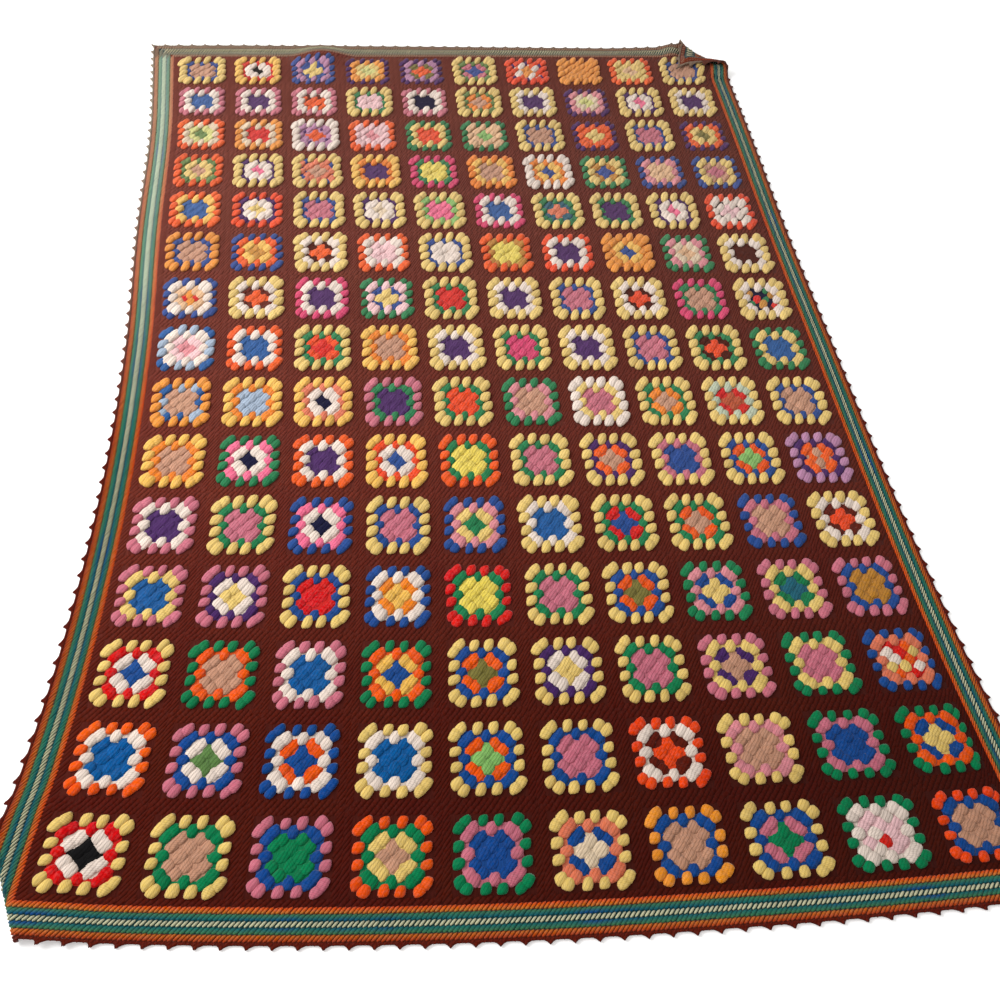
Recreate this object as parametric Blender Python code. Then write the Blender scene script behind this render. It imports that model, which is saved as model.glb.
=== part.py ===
"""A crocheted granny square blanket, laid out flat, at its real size in metres.

The blanket is worked out flat first: u runs across it, v runs along it from the near edge to the far one,
and w is the height inside the cloth, from its middle. settled() then lays each flat point on the ground:
it folds two corners, adds the few places where the cloth lifts, and pulls the rectangle into the slightly
uneven shape in which it lies. The underside is flat on z = 0 wherever the cloth doesn't lift.
"""

import math

import bmesh
import bpy

# ---- the flat blanket
SQUARE = 0.127  # one granny square with its share of the joining round, 5 inches
COLUMNS = 10
ROWS = 15
CLOTH = 0.0045  # thickness of the worsted crochet
BAND = 0.0445  # the striped border, five rounds of stitches
EDGING = 0.0035  # the last dark round
PICOT = 0.0065  # how far a picot stands out of it
PICOT_BASE = 0.010
PICOT_PITCH = 0.032
GAP = 0.0005  # between the pieces

FIELD_U = COLUMNS * SQUARE / 2
FIELD_V = ROWS * SQUARE / 2
BAND_U = FIELD_U + BAND
BAND_V = FIELD_V + BAND
EDGE_U = BAND_U + EDGING
EDGE_V = BAND_V + EDGING

# ---- how it lies: how far the left edge, the middle and the right edge of the squares are pushed across
# (dx) and along (dy) the ground, in metres, on seven lines spaced evenly from the near edge to the far one
LINE_SPACING = 2.5 * SQUARE
LIE = (
    # dx: left, middle, right      dy: left, middle, right
    (-0.028, -0.014, 0.025, 0.027, -0.023, -0.021),
    (0.016, -0.005, 0.000, 0.015, -0.018, -0.024),
    (0.039, 0.005, -0.012, 0.006, -0.011, -0.021),
    (0.042, 0.003, -0.015, 0.000, -0.004, -0.011),
    (0.030, 0.000, -0.017, -0.004, 0.000, 0.005),
    (0.024, -0.010, -0.014, -0.017, -0.002, 0.022),
    (0.005, -0.012, -0.014, -0.045, -0.010, 0.024),
)
# how far the last brown round is stretched outwards, and the share of its own width that the border keeps
PULL = {
    # side: stretch, share
    "left": (0.001, 1.00),
    "right": (0.005, 0.90),
    "near": (0.002, 0.87),
    "far": (-0.001, 0.90),
}
LAST_ROUND = 0.017  # width of the outermost brown round
MIDDLE = (0.00839, -0.00513)  # of the ground that it covers, which becomes the origin

# ---- where the cloth lifts off the ground: the pucker in the far edge, and gentle swells
LIFTS = (
    # middle u, v    half width across, along    height
    (-0.295, 0.950, 0.085, 0.065, 0.015),
    (0.562, 0.985, 0.036, 0.070, 0.009),
    (-0.420, -0.300, 0.190, 0.110, 0.003),
    (0.330, 0.250, 0.210, 0.120, 0.003),
    (0.120, -0.640, 0.230, 0.100, 0.003),
)
# a short ridge pushed up in front of the far right corner
RIDGE_FROM = (0.590, 0.905)
RIDGE_TO = (0.670, 0.885)
RIDGE_HALF = 0.032
RIDGE_HEIGHT = 0.018

# ---- the two folded corners: the crease meets the edge across and the side edge this far from the corner,
# the bend's radius at the cloth's middle narrows from the one to the other, and settle says how soon the
# upper layer comes down to the lower one
OVER = {
    "corner": (1, 1),
    "edge_leg": 0.124,
    "side_leg": 0.127,
    "edge_radius": 0.0175,
    "side_radius": 0.0060,
    "settle": 0.100,
    "turn": 1,
}
UNDER = {
    "corner": (-1, -1),
    "edge_leg": 0.064,
    "side_leg": 0.137,
    "edge_radius": 0.0045,
    "side_radius": 0.0045,
    "settle": 0.035,
    "turn": -1,
}
CLEARANCE = 0.0015  # between the two layers of a folded corner
LEAN = 0.3  # how far the turned corner swings sideways as it comes over
FADE = 0.060  # how soon the cloth round the tucked corner is back on the ground

# ---- how finely the solids are cut
CELL = SQUARE / 2
BEND_CUTS = 7
FINE = 0.020  # round the folded corners
FOLD_REACH = 0.165  # of a corner's fine cuts
PUCKER_CUTS = (-0.67, -0.33, 0, 0.33, 0.67)  # in half widths


def eased(x):
    x = min(max(x, 0.0), 1.0)
    return x * x * (3 - 2 * x)


def crease(fold):
    """Where the crease leaves the edge across, its direction, the way to the corner, and its length."""
    side_u, side_v = fold["corner"]
    start = (side_u * (EDGE_U - fold["edge_leg"]), side_v * EDGE_V)
    end = (side_u * EDGE_U, side_v * (EDGE_V - fold["side_leg"]))
    length = math.dist(start, end)
    along = ((end[0] - start[0]) / length, (end[1] - start[1]) / length)
    out = (-along[1], along[0])
    if out[0] * side_u < 0:
        out = (-out[0], -out[1])
    return start, along, out, length


def folded(u, v, w, fold):
    """The flat point once its corner is folded: u and v are still flat, and z is the height."""
    start, along, out, length = crease(fold)
    q = (u - start[0]) * along[0] + (v - start[1]) * along[1]
    s = (u - start[0]) * out[0] + (v - start[1]) * out[1]
    share = min(max(q / length, 0.0), 1.0)
    radius = fold["side_radius"] + (fold["edge_radius"] - fold["side_radius"]) * (1 - share) ** 3
    rest = CLOTH + CLEARANCE
    lift = 0.0
    if fold["turn"] < 0:
        reach = fold["edge_leg"] * fold["side_leg"] / length - math.pi * radius
        lift = rest + (2 * radius - rest) * math.exp(min(s, 0) / fold["settle"])
        lift *= 1 - eased((-s - reach) / FADE)
        lift *= eased(1 + min(q, length - q, 0) / FADE)
    if s <= 0:
        return u, v, CLOTH / 2 + lift + w
    angle = min(s / radius, math.pi)
    past = max(s - math.pi * radius, 0.0)
    height = radius * (1 - math.cos(angle))
    swing = 0.0
    if fold["turn"] > 0:
        height += (rest - 2 * radius) * (1 - math.exp(-past / fold["settle"]))
        swing = LEAN * past * (1 - share)
    across = radius * math.sin(angle) - past - fold["turn"] * w * math.sin(angle)
    u2 = start[0] + q * along[0] + across * out[0] - swing
    v2 = start[1] + q * along[1] + across * out[1]
    return u2, v2, CLOTH / 2 + lift + fold["turn"] * height + w * math.cos(angle)


def hump(distance):
    """One in the middle, and smoothly nothing from 1 outwards."""
    return math.cos(min(distance, 1.0) * math.pi / 2) ** 2


def swell(u, v):
    """How far the cloth is lifted by its own unevenness."""
    z = 0.0
    for mid_u, mid_v, half_u, half_v, height in LIFTS:
        z += height * hump(math.hypot((u - mid_u) / half_u, (v - mid_v) / half_v))
    length = math.dist(RIDGE_FROM, RIDGE_TO)
    run_u = (RIDGE_TO[0] - RIDGE_FROM[0]) / length
    run_v = (RIDGE_TO[1] - RIDGE_FROM[1]) / length
    q = (u - RIDGE_FROM[0]) * run_u + (v - RIDGE_FROM[1]) * run_v
    away = abs((v - RIDGE_FROM[1]) * run_u - (u - RIDGE_FROM[0]) * run_v)
    past_end = max(-q, q - length, 0.0)
    return z + RIDGE_HEIGHT * hump(away / RIDGE_HALF) * hump(past_end / RIDGE_HALF)


def pulled(flat, edge, side):
    """One flat coordinate, with the last brown round stretched and the border drawn in on its side."""
    stretch, share = PULL[side]
    past = abs(flat) - edge
    out = stretch * eased(1 + past / LAST_ROUND) - (1 - share) * max(past, 0)
    return math.copysign(abs(flat) + out, flat)


def drawn(u, v):
    """Where a flat point comes on the ground: a smooth curve through the lines of LIE, and across them."""
    u = pulled(u, FIELD_U, "right" if u > 0 else "left")
    v = pulled(v, FIELD_V, "far" if v > 0 else "near")
    x = v / LINE_SPACING + (len(LIE) - 1) / 2
    i = min(max(math.floor(x), 0), len(LIE) - 2)
    t = x - i
    before = [2 * a - b for a, b in zip(LIE[0], LIE[1])]
    after = [2 * a - b for a, b in zip(LIE[-1], LIE[-2])]
    lines = [before, *LIE, after]
    push = []
    for a, b, c, d in zip(*lines[i : i + 4]):
        bend = (2 * a - 5 * b + 4 * c - d) * t**2 + (3 * b - a - 3 * c + d) * t**3
        push.append(b + ((c - a) * t + bend) / 2)
    k = u / FIELD_U
    left, middle, right = k * (k - 1) / 2, 1 - k * k, k * (k + 1) / 2
    x = u + left * push[0] + middle * push[1] + right * push[2]
    y = v + left * push[3] + middle * push[4] + right * push[5]
    return x - MIDDLE[0], y - MIDDLE[1]


def settled(point):
    """A point of the flat blanket, where it lies."""
    u, v, w = point
    u, v, z = folded(u, v, w, OVER if u + v > 0 else UNDER)
    x, y = drawn(u, v)
    return x, y, z + swell(u, v)


def cut(bm, point, normal, middle=(0, 0), reach=(math.inf, math.inf)):
    """Cuts edges along an upright plane, into the faces within reach of a middle."""
    faces = []
    for face in bm.faces:
        centre = face.calc_center_median()
        if abs(centre.x - middle[0]) < reach[0] and abs(centre.y - middle[1]) < reach[1]:
            faces.append(face)
    edges = {edge for face in faces for edge in face.edges}
    verts = {vert for face in faces for vert in face.verts}
    geometry = [*verts, *edges, *faces]
    bmesh.ops.bisect_plane(bm, geom=geometry, dist=1e-5, plane_co=(*point, 0), plane_no=(*normal, 0))


def cut_cells(bm):
    for k in range(1 - COLUMNS, COLUMNS):
        cut(bm, (k * CELL, 0), (1, 0))
    for k in range(1 - ROWS, ROWS):
        cut(bm, (0, k * CELL), (0, 1))


def cut_pucker(bm):
    mid_u, mid_v, half_u, half_v, _ = LIFTS[0]
    for k in PUCKER_CUTS:
        cut(bm, (mid_u + k * half_u, 0), (1, 0), (mid_u, mid_v), (half_u, half_v))
        cut(bm, (0, mid_v + k * half_v), (0, 1), (mid_u, mid_v), (half_u, half_v))


def cut_fold(bm, fold):
    """Lines along the crease, close together round the bend and fanning out with it, and lines across it."""
    start, along, out, length = crease(fold)
    corner = (fold["corner"][0] * EDGE_U, fold["corner"][1] * EDGE_V)
    reach = (FOLD_REACH, FOLD_REACH)
    lines = [(-FINE * k, 0) for k in range(1, 4)]
    lines += [(0, math.pi * k / BEND_CUTS) for k in range(BEND_CUTS + 1)]
    lines += [(FINE * k, math.pi) for k in range(1, 3)]
    for away, angle in lines:
        first = away + angle * fold["edge_radius"]
        last = away + angle * fold["side_radius"]
        slope = (last - first) / length
        normal = (out[0] - slope * along[0], out[1] - slope * along[1])
        cut(bm, (start[0] + first * out[0], start[1] + first * out[1]), normal, corner, reach)
    for k in range(round(length / FINE) + 1):
        q = k * FINE
        cut(bm, (start[0] + q * along[0], start[1] + q * along[1]), along, corner, reach)


def thicken(bm):
    """Gives a flat face its thickness, half of it to each side."""
    made = bmesh.ops.extrude_face_region(bm, geom=list(bm.faces))["geom"]
    raised = [item for item in made if isinstance(item, bmesh.types.BMVert)]
    bmesh.ops.translate(bm, verts=list(bm.verts), vec=(0, 0, -CLOTH / 2))
    bmesh.ops.translate(bm, verts=raised, vec=(0, 0, CLOTH))


def make_piece(name, bm, colour):
    """Lays a flat outline on the ground, as a solid of the cloth's thickness."""
    cut_cells(bm)
    cut_pucker(bm)
    cut_fold(bm, OVER)
    cut_fold(bm, UNDER)
    thicken(bm)
    for vert in bm.verts:
        vert.co = settled(vert.co)
    # the shorter diagonals, so that the walls either side of a gap bend alike
    bmesh.ops.triangulate(bm, faces=list(bm.faces), quad_method="SHORT_EDGE")
    bmesh.ops.recalc_face_normals(bm, faces=list(bm.faces))
    mesh = bpy.data.meshes.new(name)
    bm.to_mesh(mesh)
    bm.free()
    material = bpy.data.materials.new(name)
    material.use_nodes = True
    surface = material.node_tree.nodes["Principled BSDF"]
    surface.inputs["Base Color"].default_value = (*colour, 1)
    surface.inputs["Roughness"].default_value = 0.9
    mesh.materials.append(material)
    blanket.objects.link(bpy.data.objects.new(name, mesh))


def rectangle(half_u, half_v):
    bm = bmesh.new()
    bmesh.ops.create_grid(bm, x_segments=1, y_segments=1, size=1)
    bmesh.ops.scale(bm, verts=list(bm.verts), vec=(half_u, half_v, 1))
    return bm


def make_field():
    """The joined granny squares, as one sheet."""
    make_piece("field", rectangle(FIELD_U, FIELD_V), (0.66, 0.42, 0.16))


def make_border():
    """The striped rounds, mitred at the corners."""
    bm = rectangle(BAND_U, BAND_V)
    inner = list(bm.faces)
    bmesh.ops.inset_individual(bm, faces=inner, thickness=BAND - GAP, use_even_offset=True)
    bmesh.ops.delete(bm, geom=inner, context="FACES")
    make_piece("border", bm, (0.10, 0.16, 0.15))


def make_edging():
    """The last round and its picots, a cell from each picot's tip to the next."""
    bm = bmesh.new()
    for quarter in range(4):
        # half the side's length, and how far out it is
        half, out = (EDGE_U, EDGE_V) if quarter % 2 == 0 else (EDGE_V, EDGE_U)
        inner_half = half - EDGING + GAP
        inner_out = out - EDGING + GAP
        count = round(2 * half / PICOT_PITCH)
        tips = [(2 * k / count - 1, PICOT) for k in range(count + 1)]
        # a corner's picot is shared by two sides, and stands half as far out of each
        tips[0] = (-1 - PICOT / 2 / half, PICOT / 2)
        tips[-1] = (1 + PICOT / 2 / half, PICOT / 2)
        for (here, this_high), (there, next_high) in zip(tips, tips[1:]):
            cell = [
                (max(here, -1) * inner_half, inner_out),
                (here * half, out + this_high),
                (max(here, -1) * half + PICOT_BASE / 2, out),
                (min(there, 1) * half - PICOT_BASE / 2, out),
                (there * half, out + next_high),
                (min(there, 1) * inner_half, inner_out),
            ]
            bm.faces.new([bm.verts.new((*turned(point, quarter), 0)) for point in cell])
    bmesh.ops.remove_doubles(bm, verts=list(bm.verts), dist=1e-5)
    make_piece("edging", bm, (0.06, 0.02, 0.02))


def turned(point, quarters):
    """A flat point after some quarter turns to the right."""
    for _ in range(quarters):
        point = (point[1], -point[0])
    return point


for old in list(bpy.data.objects):
    bpy.data.objects.remove(old, do_unlink=True)
blanket = bpy.data.collections.new("granny square blanket")
bpy.context.scene.collection.children.link(blanket)
make_field()
make_border()
make_edging()
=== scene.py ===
"""A crocheted granny square blanket, laid out with two of its corners turned."""
import math

import bpy
import numpy as np
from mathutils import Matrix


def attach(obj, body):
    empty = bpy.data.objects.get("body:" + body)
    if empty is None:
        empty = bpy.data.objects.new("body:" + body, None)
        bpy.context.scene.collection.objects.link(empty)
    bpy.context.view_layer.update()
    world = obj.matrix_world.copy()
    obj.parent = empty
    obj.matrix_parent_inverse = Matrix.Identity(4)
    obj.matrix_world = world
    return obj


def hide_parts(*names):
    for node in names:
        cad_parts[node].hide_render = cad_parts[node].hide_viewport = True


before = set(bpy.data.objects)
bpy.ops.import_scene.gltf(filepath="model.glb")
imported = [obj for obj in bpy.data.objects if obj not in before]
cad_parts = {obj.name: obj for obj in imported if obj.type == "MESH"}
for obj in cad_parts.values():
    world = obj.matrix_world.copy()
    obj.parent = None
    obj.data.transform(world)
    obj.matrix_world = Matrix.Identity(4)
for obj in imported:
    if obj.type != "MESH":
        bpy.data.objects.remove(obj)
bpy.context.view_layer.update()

# ---------------------------------------------------------------------------
# The camera, held by someone who stands at the near end and looks along the
# blanket, and the room: a white floor under a soft sky, with a wide window
# on the left.
# ---------------------------------------------------------------------------
bpy.ops.object.select_all(action="DESELECT")
bpy.ops.object.camera_add(
    location=(-0.2384, -1.2712, 1.3276),
    rotation=(math.radians(35.498), math.radians(-5.372), math.radians(-5.707)),
)
camera = bpy.context.object
camera.name = "camera"
camera.data.lens = 36
camera.data.sensor_width = 36
bpy.context.scene.camera = camera

bpy.ops.object.light_add(type="AREA", location=(-2.5, 0.5, 2.1))
window = bpy.context.object
window.name = "window_light"
window.data.shape = "RECTANGLE"
window.data.size, window.data.size_y = 2.2, 1.6
window.data.energy = 106
window.rotation_euler = (math.radians(-50), 0, math.radians(79))

sky = bpy.data.worlds.new("room")
bpy.context.scene.world = sky
sky.use_nodes = True
daylight = sky.node_tree.nodes["Background"].inputs
daylight["Color"].default_value = (1.0, 0.985, 0.97, 1)
daylight["Strength"].default_value = 0.67
bpy.context.scene.view_settings.view_transform = "Standard"

bpy.ops.mesh.primitive_plane_add(size=14, location=(0, 0, -0.0004))
floor = bpy.context.object
floor.name = "floor"
paint = bpy.data.materials.new("floor_paint")
paint.use_nodes = True
finish = paint.node_tree.nodes["Principled BSDF"].inputs
finish["Base Color"].default_value = (0.93, 0.93, 0.93, 1)
finish["Roughness"].default_value = 0.9
finish["Emission Color"].default_value = (1, 1, 1, 1)
finish["Emission Strength"].default_value = 0.26
floor.data.materials.append(paint)

# ---------------------------------------------------------------------------
# The ground of the joined squares: ten by fifteen granny squares crocheted
# from worsted yarn, 5 inches each, and joined in dark brown. It is the thin
# sheet that shows between the clusters, and it carries the blanket's lie.
# ---------------------------------------------------------------------------
SQUARE = 0.127
COLUMNS, ROWS = 10, 15
FIELD_U, FIELD_V = COLUMNS * SQUARE / 2, ROWS * SQUARE / 2
BAND, EDGING = 0.0445, 0.0035
BAND_U, BAND_V = FIELD_U + BAND, FIELD_V + BAND
EDGE_U, EDGE_V = BAND_U + EDGING, BAND_V + EDGING
CLOTH, CLEARANCE = 0.0045, 0.0015
GROUND = 0.0018  # the ground's own thickness

# how far the lie moves the cloth: dx at the left, middle, right, then dy,
# a row for each two and a half squares from the near end to the far one
LIE = np.array((
    (-0.028, -0.014, 0.025, 0.027, -0.023, -0.021),
    (0.016, -0.005, 0.000, 0.015, -0.018, -0.024),
    (0.039, 0.005, -0.012, 0.006, -0.011, -0.021),
    (0.042, 0.003, -0.015, 0.000, -0.004, -0.011),
    (0.030, 0.000, -0.017, -0.004, 0.000, 0.005),
    (0.024, -0.010, -0.014, -0.017, -0.002, 0.022),
    (0.005, -0.012, -0.014, -0.045, -0.010, 0.024),
))
LINE_SPACING = 2.5 * SQUARE
# how the border pulls: the last round's stretch and the border's share of its width
PULL = {"left": (0.001, 1.00), "right": (0.005, 0.90), "near": (-0.003, 0.93), "far": (-0.001, 0.90)}
# the far side's share is up to TILT larger on the left and smaller on the right, where that wanes
# before the turned corner
TILT, TILT_SPAN, TILT_WANES, TILT_ENDS = 0.14, 0.5, 0.40, 0.52
LAST_ROUND = 0.017
MIDDLE = (0.00839, -0.00513)
# the squares by the near right corner are pushed towards it: where the push starts, is whole, wanes
# and ends across, where it is strongest along and how far that reaches, and how far it moves the cloth
PUSH = {"across": (0.24, 0.57, 0.61, 0.638), "along": (-0.86, 0.56), "move": (0.0135, -0.0055)}
# low swells: middle u, v, half width across, along, height
LIFTS = (
    (-0.295, 0.950, 0.085, 0.065, 0.015),
    (0.562, 0.985, 0.036, 0.070, 0.009),
    (-0.420, -0.300, 0.190, 0.110, 0.003),
    (0.330, 0.250, 0.210, 0.120, 0.003),
    (0.120, -0.640, 0.230, 0.100, 0.003),
)
RIDGE_FROM, RIDGE_TO = (0.590, 0.905), (0.670, 0.885)
RIDGE_HALF, RIDGE_HEIGHT = 0.032, 0.018
OVER = {"corner": (1, 1), "edge_leg": 0.124, "side_leg": 0.127, "edge_radius": 0.0175,
        "side_radius": 0.0060, "settle": 0.100, "turn": 1}
UNDER = {"corner": (-1, -1), "edge_leg": 0.064, "side_leg": 0.137, "edge_radius": 0.0045,
         "side_radius": 0.0045, "settle": 0.035, "turn": -1}
LEAN, FADE = 0.3, 0.060


def come(x, start, end):
    """How far x has come from start to end, from 0 to 1."""
    return np.clip((x - start) / (end - start), 0, 1)


def eased(x):
    x = np.clip(x, 0, 1)
    return x * x * (3 - 2 * x)


def crease(fold):
    """A turned corner's fold line: its start, its direction, the way out, its length."""
    sign = np.array(fold["corner"])
    start = sign * (EDGE_U - fold["edge_leg"], EDGE_V)
    end = sign * (EDGE_U, EDGE_V - fold["side_leg"])
    length = math.dist(start, end)
    along = (end - start) / length
    out = np.array((-along[1], along[0]))
    return start, along, out if out[0] * sign[0] > 0 else -out, length


def folded(u, v, w, fold):
    """Rolls what lies past a fold line over, or under, the rest."""
    start, along, out, length = crease(fold)
    q = (u - start[0]) * along[0] + (v - start[1]) * along[1]
    s = (u - start[0]) * out[0] + (v - start[1]) * out[1]
    share = come(q, 0, length)
    radius = fold["side_radius"] + (fold["edge_radius"] - fold["side_radius"]) * (1 - share) ** 3
    rest = CLOTH + CLEARANCE
    lift = np.zeros_like(u)
    if fold["turn"] < 0:
        reach = fold["edge_leg"] * fold["side_leg"] / length - math.pi * radius
        lift = rest + (2 * radius - rest) * np.exp(np.minimum(s, 0) / fold["settle"])
        lift *= 1 - eased((-s - reach) / FADE)
        lift *= eased(1 + np.minimum(np.minimum(q, length - q), 0) / FADE)
    angle = np.clip(s / radius, 0, math.pi)
    past = np.maximum(s - math.pi * radius, 0)
    height = radius * (1 - np.cos(angle))
    swing = 0
    if fold["turn"] > 0:
        height = height + (rest - 2 * radius) * (1 - np.exp(-past / fold["settle"]))
        swing = LEAN * past * (1 - share)
    across = radius * np.sin(angle) - past - fold["turn"] * w * np.sin(angle)
    bent = s > 0
    new_u = np.where(bent, start[0] + q * along[0] + across * out[0] - swing, u)
    new_v = np.where(bent, start[1] + q * along[1] + across * out[1], v)
    turned_z = fold["turn"] * height + w * np.cos(angle)
    return new_u, new_v, CLOTH / 2 + lift + np.where(bent, turned_z, w)


def hump(d):
    return np.cos(np.clip(d, 0, 1) * math.pi / 2) ** 2


def swell(u, v):
    """The low swells, and the ridge that the turned corner lies on."""
    lift = sum(h * hump(np.hypot((u - mu) / hu, (v - mv) / hv)) for mu, mv, hu, hv, h in LIFTS)
    run = np.subtract(RIDGE_TO, RIDGE_FROM)
    length = math.hypot(*run)
    run = run / length
    q = (u - RIDGE_FROM[0]) * run[0] + (v - RIDGE_FROM[1]) * run[1]
    s = (v - RIDGE_FROM[1]) * run[0] - (u - RIDGE_FROM[0]) * run[1]
    past_end = np.maximum(np.maximum(-q, q - length), 0)
    return lift + RIDGE_HEIGHT * hump(abs(s) / RIDGE_HALF) * hump(past_end / RIDGE_HALF)


def pulled(flat, edge, low, high, tilt=0):
    """Moves the border's rounds in or out, on the low and on the high side of the blanket."""
    stretch = np.where(flat > 0, PULL[high][0], PULL[low][0])
    share = np.where(flat > 0, PULL[high][1] + tilt, PULL[low][1])
    past = abs(flat) - edge
    out = stretch * eased(1 + past / LAST_ROUND) - (1 - share) * np.maximum(past, 0)
    return flat + np.sign(flat) * out


def drawn(u, v):
    """Where the lie carries a point of the flat blanket."""
    start, whole, wane, end = PUSH["across"]
    push = come(u, start, whole) * (1 - come(u, wane, end))
    push = push * hump(abs(v - PUSH["along"][0]) / PUSH["along"][1])
    tilt = TILT * np.clip(-u / TILT_SPAN, -1, 1) * (1 - come(u, TILT_WANES, TILT_ENDS))
    u, v = pulled(u, FIELD_U, "left", "right"), pulled(v, FIELD_V, "near", "far", tilt)
    u, v = u + push * PUSH["move"][0], v + push * PUSH["move"][1]
    lines = np.vstack([2 * LIE[0] - LIE[1], LIE, 2 * LIE[-1] - LIE[-2]])
    x = (v + FIELD_V) / LINE_SPACING
    i = np.clip(np.floor(x).astype(int), 0, len(LIE) - 2)
    t = (x - i)[:, None]
    a, b, c, d = (lines[i + k] for k in range(4))
    here = 0.5 * (2 * b + (c - a) * t + (2 * a - 5 * b + 4 * c - d) * t**2 + (3 * b - a - 3 * c + d) * t**3)
    k = u / FIELD_U
    weights = np.stack([k * (k - 1) / 2, 1 - k * k, k * (k + 1) / 2], axis=1)
    return (u + (here[:, :3] * weights).sum(1) - MIDDLE[0],
            v + (here[:, 3:] * weights).sum(1) - MIDDLE[1])


def settled(flat):
    """Points of the flat blanket (u, v, height over its middle) as it lies."""
    u, v, w = np.asarray(flat, float).T
    over, under = folded(u, v, w, OVER), folded(u, v, w, UNDER)
    bent_u, bent_v, z = (np.where(u + v > 0, a, b) for a, b in zip(over, under))
    x, y = drawn(bent_u, bent_v)
    return np.stack([x, y, z + swell(bent_u, bent_v)], axis=1)


def dyed(red, green, blue):
    """A yarn's colour, given as it looks in daylight, 0 to 255, in linear light."""
    share = np.array((red, green, blue)) / 255
    return np.where(share <= 0.04045, share / 12.92, ((share + 0.055) / 1.055) ** 2.4)


YARNS = {
    "Y": dyed(236, 202, 116),  # butter yellow
    "G": dyed(196, 134, 50),  # mustard
    "O": dyed(244, 92, 26),  # orange
    "A": dyed(242, 152, 54),  # amber
    "P": dyed(206, 114, 132),  # rose
    "H": dyed(250, 114, 152),  # hot pink
    "L": dyed(244, 198, 200),  # light pink
    "M": dyed(188, 134, 170),  # mauve
    "V": dyed(74, 40, 102),  # purple
    "N": dyed(14, 20, 56),  # navy
    "B": dyed(26, 76, 148),  # royal blue
    "S": dyed(164, 184, 206),  # light blue
    "E": dyed(10, 128, 78),  # green
    "F": dyed(136, 190, 104),  # light green
    "D": dyed(124, 116, 56),  # olive
    "T": dyed(202, 150, 122),  # taupe
    "R": dyed(220, 30, 28),  # red
    "C": dyed(242, 74, 30),  # orange-red
    "J": dyed(230, 124, 92),  # salmon
    "K": dyed(18, 17, 18),  # black
    "W": dyed(240, 222, 208),  # white
    "I": dyed(232, 208, 176),  # cream
    "X": dyed(98, 27, 13),  # dark brown
    "x": dyed(78, 20, 8),  # espresso
    "Z": dyed(20, 98, 118),  # teal
    "z": dyed(14, 92, 158),  # cerulean
    "Q": dyed(232, 186, 142),  # peach
    "U": dyed(98, 134, 74),  # sage
    "p": dyed(226, 142, 150),  # soft pink
    "l": dyed(240, 216, 90),  # lemon
    "y": dyed(246, 192, 88),  # golden yellow
    "o": dyed(244, 134, 36),  # tangerine
    "m": dyed(216, 214, 130),  # lime
    "r": dyed(222, 66, 114),  # raspberry
    "s": dyed(192, 204, 178),  # pale mint
    "t": dyed(188, 84, 52),  # brick
}
# yarns dyed in several colours, or changed within a round: the colours of one cluster after another
DYED_IN_TURN = {
    "a": "WO", "b": "MV", "c": "LLRW", "d": "NEGRX", "e": "ROYW", "f": "LWLL", "g": "AR", "h": "BJJ",
    "i": "TO", "j": "CV", "k": "zSSz", "n": "XXOOOOOO", "q": "KW",
}

# Each square's yarns from its middle to its fourth round, the far row first.
CHART = """
TTBY KWRy YBMB mYAV ODMV BPUY AajC AAAA QYYO TTBY
zzWP VVWP OnWP LLEY NNWP ToUY VVWY mIpV HWVY VVWY
UmIO RRIA ObMW pLLO CCYE FQQE TTBY YOOV PPBY DYOV
TYUO HWVY TJhY VVoy llEr TTyo ByoW BGYE QQpB PTYB
zzyO YWVC PPBY IWVY HHFY zzWr JZEY VVEY HWVY LqWC
TTBA GyOB OxWY LLWO WWBY llGO VVWC ByAA QIpE xxWY
gQWB OXWY VVWr YBLE RREY VVWY PPBY CxWY TTEr ddWY
pLWk zzWO RCEY TToy VVWY rrEY VVWY PPBY CxEY zzYE
TTkA SSoy NWJy VVEP CCEY TTpE PPYW ToEY tRsY TTBY
TToy NWHE VVWO BWCy llEO PPEY TOVY BBPY FOBY iOVM
VVWP PPEY NWHB PPBY EYpB zzWY BREY TOEY TTPB CXWY
zzYP YWVP RRBY yoWB llER PPEY DOBY YBpE ZEYP GGBP
BWRY TTOE zzWP ByOE DOBY YWVY PPEY TVYP PPYE eeJB
zzWO UWBP BOWB zzWY FOBY PPBY CXWC TTpY BBPE YBOE
KWRY TTEY EEBP TYEO BBPE IBJY TTBA EPBY cfWE TTBC
""".split()


def yarn(square, ring, turn=0):
    """The yarn in a square's ring, 1 to 4. turn counts the clusters of a yarn dyed in turn."""
    column, row = square
    letter = CHART[(ROWS - 1 - row) * COLUMNS + column][ring - 1]
    letters = DYED_IN_TURN.get(letter, letter)
    return YARNS[letters[turn % len(letters)]]


# how much each primary counts in a dye's lightness, and the painted haze of light that the squares' and the
# joining dye are drawn towards at the far end
LIGHTNESS = np.array((0.21, 0.72, 0.07))
PAINTED_HAZE, BROWN_PAINTED_HAZE = np.array((0.60, 0.37, 0.27)), np.array((0.42, 0.25, 0.20))
GREYED, PAINTED_HAZE_BY, BROWN_PAINTED_HAZE_BY = 0.09, 0.10, 0.14  # at the far end
DARKEST = 0.05  # dyes darker than this take less of the painted haze


def far_along(v):
    """0 at the near end and 1 where the far end's look is reached."""
    return come(v, -0.75, 0.45)


def to_the_right(u):
    return come(u, -0.6, 0.6)


def with_painted_light(tone, u, v):
    """A dye, or several, with painted light and shade: full in colour by the near right corner, duller and
    paler towards the far end as a painted haze of light, the darkest dyes least, darker at the near end
    and most on its right as painted shade, and a little darker over the far half."""
    grey = (tone @ LIGHTNESS)[..., None]
    far, near = far_along(v), 1 - come(v, -0.8, -0.2)
    # a painted haze of light: greyer and paler towards the far end
    tone = tone + (grey - tone) * GREYED * far
    tone = tone + (PAINTED_HAZE - tone) * PAINTED_HAZE_BY * far * np.clip(grey / DARKEST, 0.3, 1)
    # painted shade: darker at the near end, most on its right, and a little darker over the far half
    return tone * (1 - near * (0.10 + 0.07 * to_the_right(u))) * (1 - 0.07 * come(v, 0, 0.6))


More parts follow.
